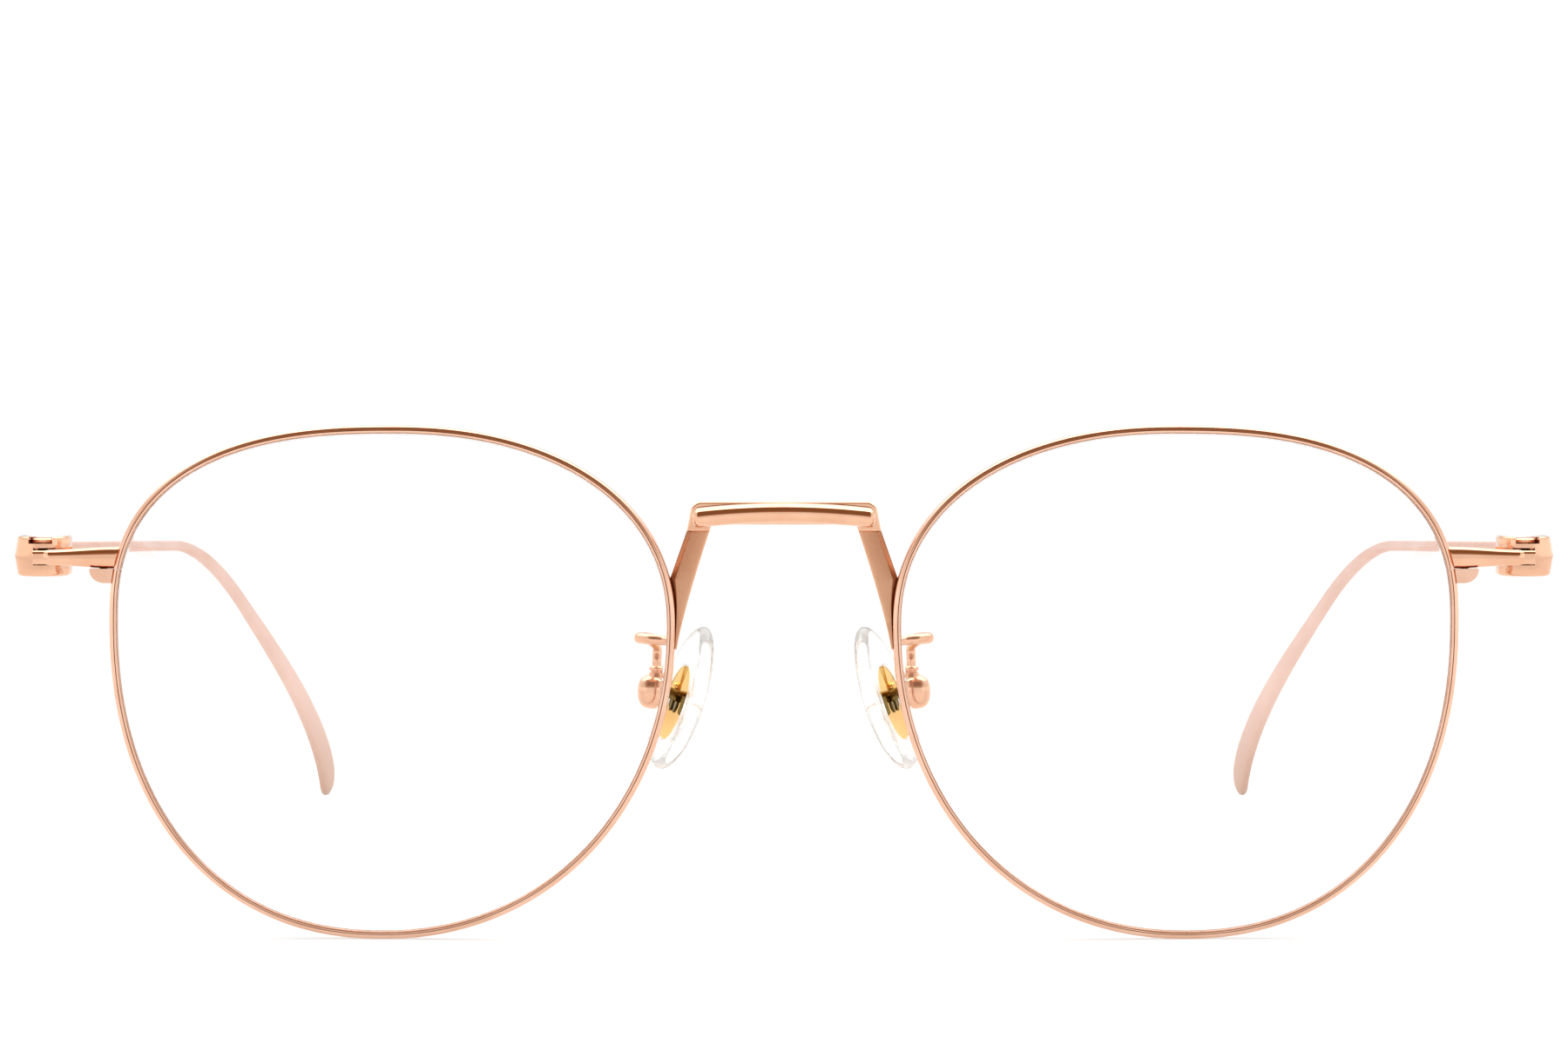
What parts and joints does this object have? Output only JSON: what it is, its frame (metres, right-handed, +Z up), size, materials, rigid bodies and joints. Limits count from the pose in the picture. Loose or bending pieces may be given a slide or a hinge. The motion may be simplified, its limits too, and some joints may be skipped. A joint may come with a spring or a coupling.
{
  "type": "eyeglasses",
  "caption": "Thin round-panto wire eyeglasses: grooved rims, straight bar bridge with angled legs, screw-on clear nose pads, folding wire temples with flattened paddle tips.",
  "frame": {"origin": "middle of the pair's outer box, on the surface that the rims and the temple tips stand on", "axes": "+X to the wearer's left (across the width), +Y back towards the ears, +Z up; the wearer looks along -Y"},
  "size_m": [0.143, 0.1388, 0.0473],
  "materials": {
    "polished_rose_gold": "polished rose gold plating",
    "rim_rose_gold": "polished and lightly brushed rose gold plating",
    "satin_rose_gold": "satin and brushed pink rose gold plating",
    "screw_rose_gold": "turned screw, rose gold plating",
    "yellow_gold": "bright yellow gold plating",
    "clear_lens": "clear coated lens",
    "clear_pad": "clear soft pad"
  },
  "bodies": {
    "front": {"bridge_bar": "polished_rose_gold", "bridge_strap": "polished_rose_gold", "left_bridge_leg": "satin_rose_gold", "right_bridge_leg": "satin_rose_gold", "left_rim": "rim_rose_gold", "right_rim": "rim_rose_gold", "left_lens": "clear_lens", "right_lens": "clear_lens", "left_end_piece": "polished_rose_gold", "right_end_piece": "polished_rose_gold", "left_rim_lock": "rim_rose_gold", "right_rim_lock": "rim_rose_gold", "left_rim_screw": "screw_rose_gold", "right_rim_screw": "screw_rose_gold", "left_pad_arm": "polished_rose_gold", "right_pad_arm": "polished_rose_gold", "left_pad_box": "polished_rose_gold", "right_pad_box": "polished_rose_gold", "left_pad_screw": "yellow_gold", "right_pad_screw": "yellow_gold"},
    "left_pad": {"left_nose_pad": "clear_pad", "left_pad_core": "yellow_gold"},
    "right_pad": {"right_nose_pad": "clear_pad", "right_pad_core": "yellow_gold"},
    "left_temple_arm": {"left_temple_head": "polished_rose_gold", "left_hinge_screw": "screw_rose_gold", "left_temple": "satin_rose_gold"},
    "right_temple_arm": {"right_temple_head": "polished_rose_gold", "right_hinge_screw": "screw_rose_gold", "right_temple": "satin_rose_gold"}
  },
  "joints": [
    {"name": "left_temple_fold", "type": "hinge", "parent": "front", "child": "left_temple_arm", "pos_m": [0.06879, -0.06145, 0.03511], "axis": [0, 0, 1], "range_deg": [0, 84]},
    {"name": "right_temple_fold", "type": "hinge", "parent": "front", "child": "right_temple_arm", "pos_m": [-0.06879, -0.06145, 0.03511], "axis": [0, 0, -1], "range_deg": [0, 79]},
    {"name": "left_pad_rock", "type": "hinge", "parent": "front", "child": "left_pad", "pos_m": [0.01214, -0.06095, 0.02241], "axis": [0, 1, 0], "range_deg": [-8, 8]},
    {"name": "right_pad_rock", "type": "hinge", "parent": "front", "child": "right_pad", "pos_m": [-0.01214, -0.06095, 0.02241], "axis": [0, -1, 0], "range_deg": [-8, 8]}
  ]
}
